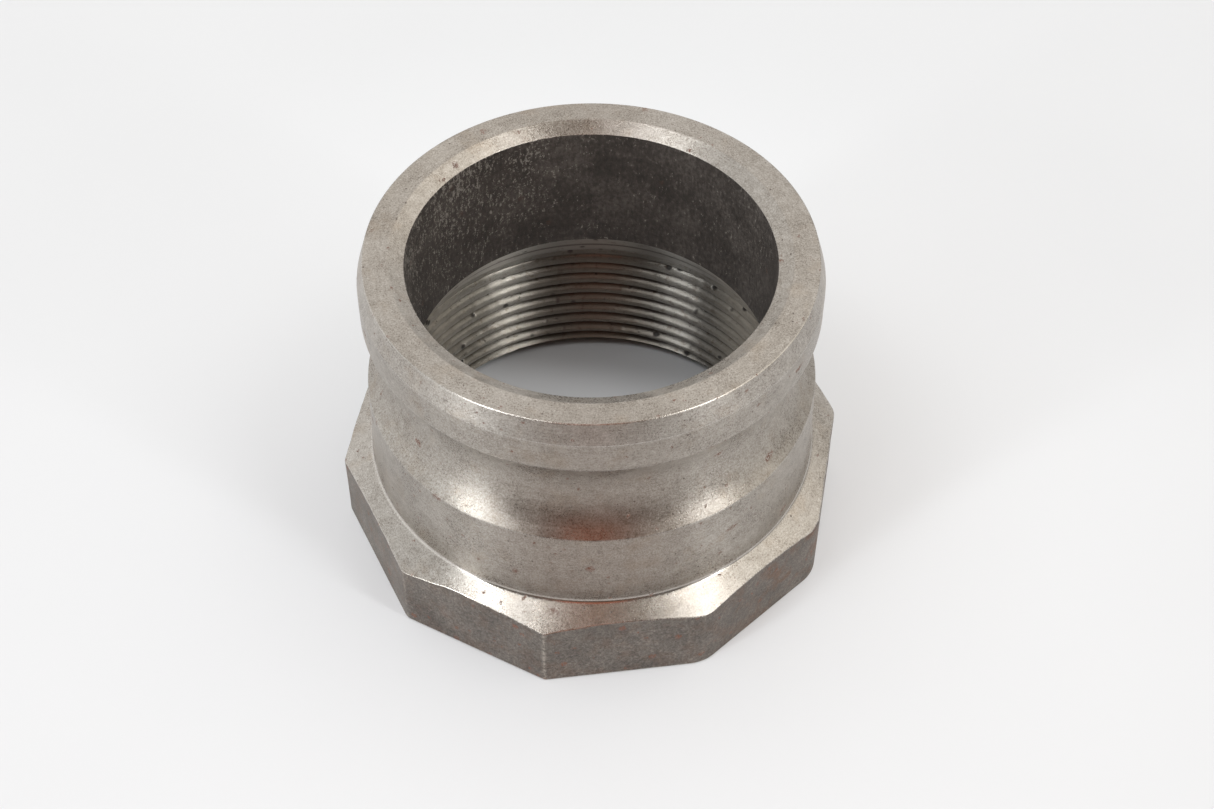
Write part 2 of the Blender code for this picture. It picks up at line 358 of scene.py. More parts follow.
def build_piece():
    out_r, out_z, out_e = OUTER[..., 0], OUTER[..., 1], OUTER[..., 2]
    n_out = out_r.shape[1]
    c, s = np.cos(PHI)[:, None], np.sin(PHI)[:, None]

    # ---- cast waviness, only ever inwards from the true surface
    # flats: rows below the turned shoulder
    is_flat = (out_r > 33.5 * MM) & (out_z < 12.6 * MM) & (out_z > 0.45 * MM)
    p = np.stack([out_r * c, out_r * s, out_z], -1).reshape(-1, 3)
    wave = (0.055 * fbm(p, 7 * MM, 3, 2) + 0.030 * fbm(p, 1.3 * MM, 8, 2)).reshape(out_r.shape) * MM
    top_of_flat = FLAT_TOP_Z - (out_r - APOTHEM) * SHOULDER_SLOPE
    ease = np.clip((top_of_flat - 0.35 * MM - out_z) / (1.2 * MM), 0, 1) * np.clip(out_z / (0.8 * MM), 0, 1)
    out_r = out_r - np.where(is_flat, (0.085 * MM + wave) * ease, 0.0)

    # bore: a cast surface that wanders a little
    zz, rr = IN_Z.copy(), IN_R.copy()
    p = np.stack([rr * c, rr * s, zz], -1).reshape(-1, 3)
    wob = (0.07 * fbm(p, 9 * MM, 21, 2) + 0.05 * fbm(p, 1.6 * MM, 23, 2)).reshape(rr.shape) * MM
    k = np.arange(rr.shape[1])[None]
    in_bore = np.clip((zz - BORE_FOOT_Z - 0.1 * MM) / (1.5 * MM), 0, 1) * np.clip((NOSE_CHAMFER_Z + 0.1 * MM - zz) / (0.5 * MM), 0, 1)
    rr = rr + np.where(k >= K_BORE, wob * in_bore, 0.0)
    # thread: torn and slightly uneven crests
    tear = np.clip(fbm(p, 0.9 * MM, 31, 2) - 0.15, 0, 1).reshape(rr.shape) * 0.10 * MM
    in_thread = np.clip((zz - 0.8 * MM) / (0.8 * MM), 0, 1) * np.clip((THREAD_TOP_Z - zz) / (0.6 * MM), 0, 1)
    rr = rr + np.where(k < N_THREAD, tear * in_thread, 0.0)

    verts, index = [], {}
    outer_id = np.zeros(out_r.shape, int)
    base = 0
    xyz_o = np.stack([out_r * c, out_r * s, out_z], -1)
    xyz_i = np.stack([rr * c, rr * s, zz], -1)
    # outer rows 0..n_out-1 ; inner rows run from the mouth (shared with outer's last) to the nose edge (shared with outer's first)
    co = [xyz_o.reshape(-1, 3)]
    oid = np.arange(COLS * n_out).reshape(COLS, n_out)
    n_in = rr.shape[1]
    iid = COLS * n_out + np.arange(COLS * n_in).reshape(COLS, n_in)
    co.append(xyz_i.reshape(-1, 3))
    co = np.concatenate(co)

    faces, mats = [], []

    def grid(ids, zones, shift_rows=0):
        n = ids.shape[1]
        for i in range(COLS):
            a = ids[i]
            b = ids[(i + 1) % COLS]
            for j in range(n - 1):
                faces.append((a[j], b[j], b[j + 1], a[j + 1]))
                mats.append(zones[j])
        return

    # outer faces: rows go down the outside, columns go counter-clockwise
    z0, r0 = out_z.mean(0), out_r.mean(0)
    zones_o = []
    for j in range(n_out - 1):
        zm = (z0[j] + z0[j + 1]) / 2
        rm = (r0[j] + r0[j + 1]) / 2
        vertical = abs(r0[j + 1] - r0[j]) < 0.4 * abs(z0[j + 1] - z0[j])
        zones_o.append(CAST if (rm > 34.0 * MM and zm < 12.2 * MM and (vertical or zm > 0.02 * MM and zm < 0.6 * MM)) else TURNED)
    quad = []
    A = oid
    B = np.roll(oid, -1, 0)
    fo = np.stack([A[:, 1:], B[:, 1:], B[:, :-1], A[:, :-1]], -1).reshape(-1, 4)
    mo = np.tile(np.array(zones_o), COLS)

    # inner faces: the thread rows are a helix, so where the turn counter wraps the rows are matched one turn apart
    zones_i = [THREAD] * (K_BORE) + [BORE] * (K_CHAMFER - K_BORE) + [TURNED] * (n_in - 1 - K_CHAMFER)
    phi01 = ((PHI - 0.013) / (2 * math.pi)) % 1.0
    fi, mi = [], []
    for i in range(COLS):
        j = (i + 1) % COLS
        wrap = phi01[j] < phi01[i]
        a, b = iid[i], iid[j]
        if not wrap:
            q = np.stack([a[:-1], b[:-1], b[1:], a[1:]], -1)
            fi.append(q)
            mi += zones_i
        else:
            # row k of this column meets row k + 7 of the next within the thread
            m = 7
            at, bt = a[:N_THREAD], b[:N_THREAD]
            q = np.stack([at[: N_THREAD - m][:-1], bt[m:][:-1], bt[m:][1:], at[: N_THREAD - m][1:]], -1)
            fi.append(q)
            mi += [THREAD] * len(q)
            # first turn of the next column collapses to the mouth, last turn of this column to the top: nothing to fill
            au, bu = a[N_THREAD - 1:], b[N_THREAD - 1:]
            q = np.stack([au[:-1], bu[:-1], bu[1:], au[1:]], -1)
            fi.append(q)
            mi += zones_i[N_THREAD - 1:]
    fi = np.concatenate(fi)
    faces = np.concatenate([fo, fi])
    mats = np.concatenate([mo, np.array(mi)])

    me = bpy.data.meshes.new("adapter")
    me.vertices.add(len(co))
    me.vertices.foreach_set("co", co.astype(np.float32).ravel())
    me.loops.add(len(faces) * 4)
    me.loops.foreach_set("vertex_index", faces.astype(np.int32).ravel())
    me.polygons.add(len(faces))
    me.polygons.foreach_set("loop_start", np.arange(0, len(faces) * 4, 4, dtype=np.int32))
    me.polygons.foreach_set("material_index", mats.astype(np.int32))
    me.update(calc_edges=True)

    # section length and edge marks for the materials
    att = me.attributes.new("edge", "FLOAT", "POINT")
    att.data.foreach_set("value", np.concatenate([out_e.ravel(), np.zeros(iid.size)]).astype(np.float32))
    seg = np.hypot(np.diff(out_r.mean(0)), np.diff(out_z.mean(0)))
    run_o = np.concatenate([[0], np.cumsum(seg)])
    seg = np.hypot(np.diff(rr[:, N_THREAD:].mean(0)), np.diff(zz[:, N_THREAD:].mean(0)))
    run_i = np.concatenate([zz.mean(0)[:N_THREAD], THREAD_TOP_Z + np.concatenate([[0], np.cumsum(seg)])]) + 0.2
    run_i = np.broadcast_to(run_i[None], rr.shape).copy()
    run_i[:, :N_THREAD] = zz[:, :N_THREAD] + 0.2
    att = me.attributes.new("run", "FLOAT", "POINT")
    att.data.foreach_set("value", np.concatenate([np.broadcast_to(run_o[None], out_r.shape).ravel(), run_i.ravel()]).astype(np.float32))
    # depth in the thread, 0 on the crest and 1 at the root
    dep = np.clip((rr - DRILL_R) / (1.4 * MM), 0, 1)
    dep[:, N_THREAD:] = 0
    att = me.attributes.new("root", "FLOAT", "POINT")
    att.data.foreach_set("value", np.concatenate([np.zeros(oid.size), dep.ravel()]).astype(np.float32))

    # nearness to a wrench corner, 1 on the rounding itself
    beta = (np.degrees(PHI) + 72 + 18) % 36 - 18
    wear = np.array(CORNER_WEAR_AND_HIGHLIGHT)[np.round((np.degrees(PHI) + 72) / 36).astype(int) % SIDES]
    near = (wear * np.clip(1 - np.abs(beta) / 0.6, 0, 1))[:, None] * (OUTER[..., 0] > 33.5 * MM)
    att = me.attributes.new("corner", "FLOAT", "POINT")
    att.data.foreach_set("value", np.concatenate([near.ravel(), np.zeros(iid.size)]).astype(np.float32))

    bm = bmesh.new()
    bm.from_mesh(me)
    bmesh.ops.remove_doubles(bm, verts=bm.verts, dist=2e-6)
    bmesh.ops.dissolve_degenerate(bm, dist=1e-7, edges=bm.edges)
    loose = [v for v in bm.verts if not v.link_faces]
    bmesh.ops.delete(bm, geom=loose, context="VERTS")
    bmesh.ops.recalc_face_normals(bm, faces=bm.faces)
    if bm.calc_volume(signed=True) < 0:
        bmesh.ops.reverse_faces(bm, faces=bm.faces)
    for f in bm.faces:
        f.smooth = True
    open_edges = sum(1 for e in bm.edges if len(e.link_faces) != 2)
    print("adapter faces", len(bm.faces), "open edges", open_edges, "volume mm3", round(bm.calc_volume() * 1e9, 1))
    bm.to_mesh(me)
    bm.free()
    me.set_sharp_from_angle(angle=math.radians(50))
    obj = bpy.data.objects.new("adapter", me)
    bpy.context.scene.collection.objects.link(obj)
    wn = obj.modifiers.new("flat runs", "WEIGHTED_NORMAL")
    wn.mode = "FACE_AREA"
    wn.weight = 50
    wn.keep_sharp = True
    return obj


adapter = build_piece()


# ---------------------------------------------------------------- materials
class Nodes:
    """Small helper that builds a node tree."""

    def __init__(self, name):
        self.mat = bpy.data.materials.new(name)
        self.mat.use_nodes = True
        self.nt = self.mat.node_tree
        self.nt.nodes.clear()
        self.out = self.nt.nodes.new("ShaderNodeOutputMaterial")
        self.bsdf = self.nt.nodes.new("ShaderNodeBsdfPrincipled")
        self.link(self.bsdf.outputs[0], self.out.inputs["Surface"])
        self.obj = self.nt.nodes.new("ShaderNodeTexCoord").outputs["Object"]
        # millimetres
        self.p = self.vmath("SCALE", self.obj, scale=1000.0)
        sep = self.nt.nodes.new("ShaderNodeSeparateXYZ")
        self.link(self.p, sep.inputs[0])
        self.x, self.y, self.z = sep.outputs
        self.r = self.math("SQRT", self.math("ADD", self.math("MULTIPLY", self.x, self.x), self.math("MULTIPLY", self.y, self.y)))
        self.ux = self.math("DIVIDE", self.x, self.r)
        self.uy = self.math("DIVIDE", self.y, self.r)

    def link(self, a, b):
        self.nt.links.new(a, b)

    def put(self, socket, value):
        if isinstance(value, bpy.types.NodeSocket):
            self.link(value, socket)
        else:
            socket.default_value = value

    def math(self, op, a, b=None, c=None, clamp=False):
        n = self.nt.nodes.new("ShaderNodeMath")
        n.operation = op
        n.use_clamp = clamp
        for s, v in zip(n.inputs, (a, b, c)):
            if v is not None:
                self.put(s, v)
        return n.outputs[0]

    def vmath(self, op, a, b=None, scale=None):
        n = self.nt.nodes.new("ShaderNodeVectorMath")
        n.operation = op
        self.put(n.inputs[0], a)
        if b is not None:
            self.put(n.inputs[1], b)
        if scale is not None:
            n.inputs["Scale"].default_value = scale
        return n.outputs[0]

    def vec(self, x, y, z):
        n = self.nt.nodes.new("ShaderNodeCombineXYZ")
        for s, v in zip(n.inputs, (x, y, z)):
            self.put(s, v)
        return n.outputs[0]

    def noise(self, vector, scale, detail=2.0, rough=0.5, distortion=0.0):
        n = self.nt.nodes.new("ShaderNodeTexNoise")
        n.inputs["Scale"].default_value = scale
        n.inputs["Detail"].default_value = detail
        n.inputs["Roughness"].default_value = rough
        n.inputs["Distortion"].default_value = distortion
        self.put(n.inputs["Vector"], vector)
        return n.outputs[0]

    def voronoi(self, vector, scale, feature="F1", randomness=1.0):
        n = self.nt.nodes.new("ShaderNodeTexVoronoi")
        n.feature = feature
        n.inputs["Scale"].default_value = scale
        n.inputs["Randomness"].default_value = randomness
        self.put(n.inputs["Vector"], vector)
        return n

    def step(self, value, lo, hi, out_lo=0.0, out_hi=1.0):
        n = self.nt.nodes.new("ShaderNodeMapRange")
        n.interpolation_type = "SMOOTHSTEP"
        n.clamp = True
        self.put(n.inputs["Value"], value)
        n.inputs["From Min"].default_value = lo
        n.inputs["From Max"].default_value = hi
        n.inputs["To Min"].default_value = out_lo
        n.inputs["To Max"].default_value = out_hi
        return n.outputs[0]

    def ramp(self, value, stops):
        n = self.nt.nodes.new("ShaderNodeValToRGB")
        e = n.color_ramp.elements
        while len(e) > 1:
            e.remove(e[-1])
        e[0].position, e[0].color = stops[0][0], (*stops[0][1], 1)
        for pos, col in stops[1:]:
            k = e.new(pos)
            k.color = (*col, 1)
        self.put(n.inputs[0], value)
        return n.outputs[0]

    def mix(self, fac, a, b, blend="MIX"):
        n = self.nt.nodes.new("ShaderNodeMix")
        n.data_type = "RGBA"
        n.blend_type = blend
        self.put(n.inputs[0], fac)
        for s, v in ((n.inputs[6], a), (n.inputs[7], b)):
            if isinstance(v, tuple):
                v = (*v, 1.0)
            self.put(s, v)
        return n.outputs[2]

    def attr(self, name):
        n = self.nt.nodes.new("ShaderNodeAttribute")
        n.attribute_name = name
        return n.outputs["Fac"]

    def bump(self, height, distance, strength=1.0, normal=None):
        n = self.nt.nodes.new("ShaderNodeBump")
        n.inputs["Strength"].default_value = strength
        n.inputs["Distance"].default_value = distance
        self.put(n.inputs["Height"], height)
        if normal is not None:
            self.link(normal, n.inputs["Normal"])
        return n.outputs[0]

    def lathe(self, across, along):
        """Coordinates stretched round the part: across is marks per mm of section, along is per mm of circumference."""
        run = self.math("MULTIPLY", self.attr("run"), 1000.0 * across)
        k = 31.5 * along
        return self.vec(self.math("MULTIPLY", self.ux, k), self.math("MULTIPLY", self.uy, k), run)


def lathe_sheen(m, amount):
    """Reflections spread across the lathe marks, which run round the part."""
    tan = m.nt.nodes.new("ShaderNodeTangent")
    tan.direction_type = "RADIAL"
    tan.axis = "Z"
    m.link(tan.outputs[0], m.bsdf.inputs["Tangent"])
    m.bsdf.inputs["Anisotropic"].default_value = amount
    m.bsdf.inputs["Anisotropic Rotation"].default_value = 0.25


def rust_specks(m, density, seed_shift, scale=0.55, base=None):
    """Sparse irregular red-brown specks, round ones unless stretched coordinates are given. Returns a mask."""
    p = m.vmath("ADD", m.p if base is None else base, (seed_shift, seed_shift * 0.7, -seed_shift))
    warp = m.vmath("SCALE", m.noise(p, 1.8, 2), scale=0.9)
    vor = m.voronoi(m.vmath("ADD", p, warp), scale)
    spot = m.step(vor.outputs["Distance"], 0.20, 0.10)
    pick = m.step(m.math("FRACT", m.math("MULTIPLY", vor.outputs["Color"], 7.13)), 1.0 - density, 1.0 - density + 0.02)
    ragged = m.step(m.noise(p, 5.5, 3, 0.6), 0.40, 0.58)
    return m.math("MULTIPLY", m.math("MULTIPLY", spot, pick), ragged)


def dark_pits(m, scale, density, size, seed_shift):
    """Small round pits. Returns a mask."""
    p = m.vmath("ADD", m.p, (seed_shift, -seed_shift, seed_shift * 1.3))
    vor = m.voronoi(p, scale)
    dot = m.step(vor.outputs["Distance"], size, size * 0.45)
    pick = m.step(m.math("FRACT", m.math("MULTIPLY", vor.outputs["Color"], 5.31)), 1.0 - density, 1.0 - density + 0.02)
    return m.math("MULTIPLY", dot, pick)


def turned_steel():
    m = Nodes("turned_face")
    grain = m.noise(m.p, 3.7, 4, 0.72)                                   # gritty tooth, 0.3 mm and finer
    fine = m.noise(m.vmath("ADD", m.p, (5.0, 1.0, 8.0)), 5.5, 2, 0.6)
    streak = m.noise(m.lathe(5.0, 0.35), 1.0, 3, 0.6)                     # lathe marks round the part
    patch = m.noise(m.p, 0.16, 3, 0.55)                                   # broad tone changes
    mottled = m.noise(m.vmath("ADD", m.p, (1.0, 6.0, 3.0)), 0.75, 4, 0.65)
    edge = m.attr("edge")
    tone = m.math("ADD", m.math("MULTIPLY", m.math("SUBTRACT", grain, 0.5), 1.55), m.math("MULTIPLY", m.math("SUBTRACT", streak, 0.5), 0.45))
    tone = m.math("ADD", tone, m.math("MULTIPLY", m.math("SUBTRACT", mottled, 0.5), 0.68))
    tone = m.math("ADD", tone, m.math("MULTIPLY", m.math("SUBTRACT", patch, 0.5), 0.60))
    tone = m.math("ADD", tone, m.math("MULTIPLY", m.math("SUBTRACT", fine, 0.5), 1.10))
    tone = m.math("ADD", tone, 0.5, clamp=True)
    colour = m.ramp(tone, [(0.0, (0.215, 0.188, 0.163)), (0.5, (0.425, 0.389, 0.349)), (1.0, (0.615, 0.583, 0.545))])
    warm = m.step(m.noise(m.vmath("ADD", m.p, (7.0, 3.0, 1.0)), 0.22, 3, 0.6), 0.52, 0.72, 0.0, 0.55)
    colour = m.mix(warm, colour, m.mix(tone, (0.29, 0.238, 0.19), (0.52, 0.46, 0.395)))
    # painted shade: the upright walls are coloured a little darker than the faces, for the dimmer surroundings they
    # reflect
    painted_wall_shade = m.math("MULTIPLY", m.step(m.z, 13.6, 15.2), m.step(m.z, 45.6, 44.6))
    colour = m.mix(m.math("MULTIPLY", painted_wall_shade, 0.95), colour, m.mix(1.0, colour, (0.87, 0.862, 0.85), "MULTIPLY"))
    # painted shade: the neck wall facing the camera is coloured a little darker and browner, for the dark warm
    # surroundings it reflects
    facing = m.math("ADD", m.math("MULTIPLY", m.ux, -0.137), m.math("MULTIPLY", m.uy, -0.990))
    painted_near_shade = m.math("MULTIPLY", m.step(facing, 0.86, 0.99), m.math("MULTIPLY", painted_wall_shade, m.step(m.z, 40.0, 26.5, 0.45, 1.0)))
    colour = m.mix(painted_near_shade, colour, m.mix(1.0, colour, (0.915, 0.875, 0.855), "MULTIPLY"))
    # burnished convex edges; the inside corners are coloured lighter as a painted highlight
    bright = m.step(edge, 0.2, 0.9, 0.0, 0.28)
    colour = m.mix(bright, colour, (0.64, 0.62, 0.58))
    inner = m.step(edge, -0.1, -0.9)
    colour = m.mix(m.math("MULTIPLY", inner, 0.45), colour, (0.56, 0.53, 0.49))
    # finest dark tooth
    tooth = m.step(m.noise(m.vmath("ADD", m.p, (3.0, 9.0, 2.0)), 4.6, 3, 0.7), 0.60, 0.74, 0.0, 0.32)
    colour = m.mix(tooth, colour, (0.15, 0.120, 0.098))
    pits = dark_pits(m, 0.80, 0.14, 0.150, 4.0)
    round_p = m.vec(m.math("MULTIPLY", m.ux, 16.0), m.math("MULTIPLY", m.uy, 16.0), m.math("MULTIPLY", m.z, 1.15))
    long_specks = m.math("MULTIPLY", rust_specks(m, 0.22, 13.0, 0.34, round_p), m.math("MULTIPLY", m.step(m.z, 45.0, 44.0), m.step(m.z, 12.0, 13.0)))
    specks = m.math("MAXIMUM", long_specks, rust_specks(m, 0.30, 57.0, 0.62))
    specks = m.math("MAXIMUM", specks, rust_specks(m, 0.10, 91.0, 0.26))
    colour = m.mix(m.math("MULTIPLY", pits, 0.80), colour, (0.055, 0.034, 0.024))
    colour = m.mix(m.math("MULTIPLY", specks, 0.88), colour, (0.145, 0.046, 0.021))
    m.put(m.bsdf.inputs["Base Color"], colour)
    dirt = m.math("MAXIMUM", pits, specks)
    m.put(m.bsdf.inputs["Metallic"], m.math("SUBTRACT", 1.0, m.math("MULTIPLY", dirt, 0.85), clamp=True))
    rough = m.math("ADD", m.step(grain, 0.3, 0.7, 0.265, 0.365), m.math("MULTIPLY", dirt, 0.30))
    rough = m.math("ADD", rough, m.step(patch, 0.35, 0.65, -0.03, 0.04))
    shoulder = m.math("MULTIPLY", m.step(m.z, 15.2, 14.6), m.step(m.z, 9.0, 10.0))
    rough = m.math("SUBTRACT", rough, m.math("MULTIPLY", shoulder, 0.02))
    rough = m.math("SUBTRACT", rough, m.math("MULTIPLY", m.math("ADD", bright, m.math("MULTIPLY", inner, 0.60)), 0.22))
    m.put(m.bsdf.inputs["Roughness"], rough)
    height = m.math("ADD", m.math("MULTIPLY", grain, 1.0), m.math("MULTIPLY", streak, 0.45))
    height = m.math("ADD", height, m.math("MULTIPLY", fine, 0.45))
    height = m.math("SUBTRACT", height, m.math("MULTIPLY", dirt, 1.2))
    smooth = m.math("MAXIMUM", m.math("MAXIMUM", m.math("MULTIPLY", inner, 0.75), m.math("MULTIPLY", bright, 2.4)), m.math("MULTIPLY", shoulder, 0.50))
    height = m.math("MULTIPLY", height, m.math("SUBTRACT", 1.0, smooth))
    m.put(m.bsdf.inputs["Normal"], m.bump(height, 0.00003, 0.8))
    lathe_sheen(m, 0.85)
    return m.mat


def cast_flats():
    m = Nodes("cast_skin")
    sand = m.noise(m.p, 1.9, 5, 0.72)
    fine = m.noise(m.vmath("ADD", m.p, (2.0, 4.0, 7.0)), 4.5, 2, 0.6)
    patch = m.noise(m.p, 0.14, 4, 0.6)
    tone = m.math("ADD", m.math("MULTIPLY", m.math("SUBTRACT", sand, 0.5), 1.75), m.math("MULTIPLY", m.math("SUBTRACT", fine, 0.5), 1.1))
    tone = m.math("ADD", tone, m.math("MULTIPLY", m.math("SUBTRACT", patch, 0.5), 0.8))
    tone = m.math("ADD", tone, 0.5, clamp=True)
    colour = m.ramp(tone, [(0.0, (0.060, 0.050, 0.042)), (0.5, (0.156, 0.137, 0.119)), (1.0, (0.30, 0.270, 0.238))])
    # brownish staining, mostly towards +X
    side = m.step(m.ux, 0.25, 0.85)
    stain_n = m.noise(m.vmath("ADD", m.p, (11.0, 5.0, 0.0)), 0.35, 4, 0.65)
    stain = m.step(stain_n, 0.43, 0.66, 0.0, 1.0)
    stain = m.math("MULTIPLY", stain, m.math("ADD", 0.30, m.math("MULTIPLY", side, 0.55)))
    colour = m.mix(stain, colour, m.mix(tone, (0.085, 0.045, 0.026), (0.235, 0.135, 0.085)))
    rust = m.math("MAXIMUM", rust_specks(m, 0.60, 31.0, 0.30), m.math("MULTIPLY", rust_specks(m, 0.50, 71.0, 0.50), 0.9))
    colour = m.mix(m.math("MULTIPLY", rust, 0.90), colour, (0.245, 0.075, 0.034))
    pits = dark_pits(m, 1.0, 0.35, 0.14, 9.0)
    colour = m.mix(m.math("MULTIPLY", pits, 0.75), colour, (0.045, 0.034, 0.028))
    # metal showing on the corners and top edge
    edge = m.step(m.attr("edge"), 0.1, 0.9, 0.0, 0.60)
    colour = m.mix(m.math("MULTIPLY", edge, m.step(sand, 0.38, 0.58)), colour, (0.42, 0.385, 0.34))
    # bright metal on the corners, set per corner; on the near corner it is partly a painted highlight
    corner = m.math("MULTIPLY", m.attr("corner"), m.step(sand, 0.42, 0.56, 0.15, 0.85))
    colour = m.mix(corner, colour, (0.44, 0.40, 0.35))
    m.put(m.bsdf.inputs["Base Color"], colour)
    m.bsdf.inputs["Metallic"].default_value = 0.40
    m.put(m.bsdf.inputs["Roughness"], m.step(sand, 0.3, 0.7, 0.46, 0.62))
    height = m.math("ADD", m.math("MULTIPLY", sand, 1.0), m.math("MULTIPLY", fine, 0.4))
    height = m.math("SUBTRACT", height, m.math("MULTIPLY", pits, 0.7))
    m.put(m.bsdf.inputs["Normal"], m.bump(height, 0.00009, 0.9))
    return m.mat


def cast_bore():
    m = Nodes("bore_skin")
    long = m.vec(m.math("MULTIPLY", m.ux, 25.0), m.math("MULTIPLY", m.uy, 25.0), m.math("MULTIPLY", m.z, 0.40))
    fibre = m.noise(long, 2.2, 4, 0.68)
    sand = m.noise(m.p, 1.5, 4, 0.68)
    fine = m.noise(m.vmath("ADD", m.p, (4.0, 2.0, 9.0)), 3.4, 3, 0.65)
    patch = m.noise(m.p, 0.14, 3, 0.5)
    tone = m.math("ADD", m.math("MULTIPLY", sand, 0.4), m.math("ADD", m.math("MULTIPLY", fibre, 0.3), m.math("MULTIPLY", patch, 0.3)))
    colour = m.ramp(tone, [(0.34, (0.019, 0.0155, 0.013)), (0.5, (0.064, 0.054, 0.047)), (0.66, (0.165, 0.146, 0.130))])
    # bright flecks where the skin is rubbed, more of them towards -X and the rim
    side = m.step(m.math("ADD", m.ux, m.math("MULTIPLY", m.uy, -0.3)), 0.10, -0.95)
    rim = m.step(m.z, 30.0, 47.0)
    clump = m.step(m.noise(m.vmath("ADD", m.p, (6.0, 1.0, 2.0)), 0.22, 3, 0.6), 0.35, 0.65, -0.02, 0.03)
    worn = m.math("ADD", m.math("MULTIPLY", side, 0.034), m.math("MULTIPLY", m.math("MULTIPLY", side, rim), 0.050))
    limit = m.math("SUBTRACT", 0.612, m.math("ADD", worn, clump))
    fleck = m.step(m.math("SUBTRACT", m.math("ADD", m.math("MULTIPLY", fibre, 0.5), m.math("MULTIPLY", fine, 0.5)), limit), 0.0, 0.035)
    colour = m.mix(m.math("MULTIPLY", fleck, 0.90), colour, (0.44, 0.41, 0.37))
    rust = rust_specks(m, 0.12, 47.0, 0.34)
    colour = m.mix(m.math("MULTIPLY", rust, 0.6), colour, (0.10, 0.042, 0.024))
    m.put(m.bsdf.inputs["Base Color"], colour)
    m.put(m.bsdf.inputs["Metallic"], m.math("MULTIPLY", fleck, 0.7))
    m.put(m.bsdf.inputs["Roughness"], m.step(sand, 0.3, 0.7, 0.50, 0.66))
    height = m.math("ADD", m.math("MULTIPLY", sand, 1.0), m.math("MULTIPLY", fibre, 0.7))
    height = m.math("ADD", height, m.math("MULTIPLY", fine, 0.4))
    m.put(m.bsdf.inputs["Normal"], m.bump(height, 0.00014, 0.95))
    return m.mat


def thread_steel():
    m = Nodes("thread_steel")
    grain = m.noise(m.p, 4.0, 3, 0.65)
    streak = m.noise(m.lathe(6.0, 0.3), 1.0, 3, 0.6)
    patch = m.noise(m.p, 0.25, 3, 0.6)
    mottled = m.noise(m.vmath("ADD", m.p, (3.0, 2.0, 7.0)), 0.9, 3, 0.65)
    root = m.attr("root")
    tone = m.math("ADD", m.math("MULTIPLY", grain, 0.35), m.math("ADD", m.math("MULTIPLY", streak, 0.35), m.math("MULTIPLY", patch, 0.3)))
    colour = m.ramp(tone, [(0.3, (0.24, 0.215, 0.182)), (0.5, (0.37, 0.345, 0.305)), (0.7, (0.50, 0.475, 0.435))])
    # the thread roots are coloured darker: part grime, part painted shade in the roots
    root_grime_and_shade = m.math("MULTIPLY", m.step(root, 0.20, 0.85, 0.0, 0.55), m.step(patch, 0.3, 0.7, 0.65, 1.0))
    colour = m.mix(root_grime_and_shade, colour, (0.058, 0.048, 0.038))
    # clean metal on the cone above the thread, with a painted shade line in the step
    clean = m.step(m.z, 21.55, 21.85)
    colour = m.mix(m.math("MULTIPLY", clean, 0.60), colour, (0.58, 0.545, 0.50))
    line = m.math("MULTIPLY", m.step(m.z, 23.60, 23.80), m.step(m.z, 24.65, 24.45))
    colour = m.mix(m.math("MULTIPLY", line, 0.85), colour, (0.10, 0.080, 0.066))
    pits = dark_pits(m, 0.42, 0.45, 0.26, 21.0)
    torn = m.step(m.noise(m.vmath("ADD", m.p, (2.0, 8.0, 5.0)), 1.5, 4, 0.7), 0.63, 0.71)
    dirt = m.math("MAXIMUM", pits, m.math("MULTIPLY", torn, 0.85))
    colour = m.mix(m.math("MULTIPLY", dirt, 0.9), colour, (0.018, 0.014, 0.011))
    oxide = m.step(mottled, 0.56, 0.70, 0.0, 0.45)
    colour = m.mix(oxide, colour, (0.13, 0.088, 0.055))
    # painted shade: the far wall of the bore, facing the camera, is coloured dark brown for the dark reflection there
    side = m.math("ADD", m.math("MULTIPLY", m.ux, 0.137), m.math("MULTIPLY", m.uy, 0.990))
    painted_far_shade = m.math("MULTIPLY", m.step(side, 0.90, 0.985), m.step(m.z, 23.0, 21.0, 0.45, 1.0))
    colour = m.mix(m.math("MULTIPLY", painted_far_shade, 0.62), colour, (0.085, 0.062, 0.046))
    # painted shade: the thread towards +X is coloured darker, to dim the lamp streak there
    painted_streak_shade = m.math("MULTIPLY", m.step(m.ux, 0.28, 0.48), m.step(m.ux, 0.86, 0.70))
    colour = m.mix(m.math("MULTIPLY", painted_streak_shade, 0.9), colour, m.mix(1.0, colour, (0.56, 0.56, 0.57), "MULTIPLY"))
    # painted light: the thread on the bore's sides is coloured a lighter beige, and made less metallic, where the side
    # lamps light it
    painted_side_light = m.math("MULTIPLY", m.step(side, 0.80, 0.55), m.math("SUBTRACT", 1.0, dirt))
    colour = m.mix(m.math("MULTIPLY", painted_side_light, 0.45), colour, (0.64, 0.585, 0.50))
    m.put(m.bsdf.inputs["Base Color"], colour)
    m.put(m.bsdf.inputs["Metallic"], m.math("SUBTRACT", 1.0, m.math("MAXIMUM", m.math("MULTIPLY", dirt, 0.8), m.math("MULTIPLY", painted_side_light, 0.35)), clamp=True))
    rough = m.math("ADD", m.step(grain, 0.3, 0.7, 0.33, 0.39), m.math("MULTIPLY", m.math("MAXIMUM", dirt, root_grime_and_shade), 0.12))
    m.put(m.bsdf.inputs["Roughness"], rough)
    height = m.math("ADD", m.math("MULTIPLY", grain, 0.5), m.math("MULTIPLY", streak, 0.7))
    height = m.math("SUBTRACT", height, m.math("MULTIPLY", dirt, 2.0))
    m.put(m.bsdf.inputs["Normal"], m.bump(height, 0.00003, 0.7))
    lathe_sheen(m, 1.0)
    return m.mat


for mat in (turned_steel(), cast_flats(), cast_bore(), thread_steel()):
    adapter.data.materials.append(mat)

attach(adapter, "root")
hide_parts(NODE)

# ---------------------------------------------------------------- camera
UNIT = 31.5 * MM
TURN = math.radians(7.88)                     # the view is this far round from square to a flat
ELEV = 0.8437
DIST = 9.3441 * UNIT
ROLL = 0.0034
spin = Matrix.Rotation(-TURN, 3, "Z")


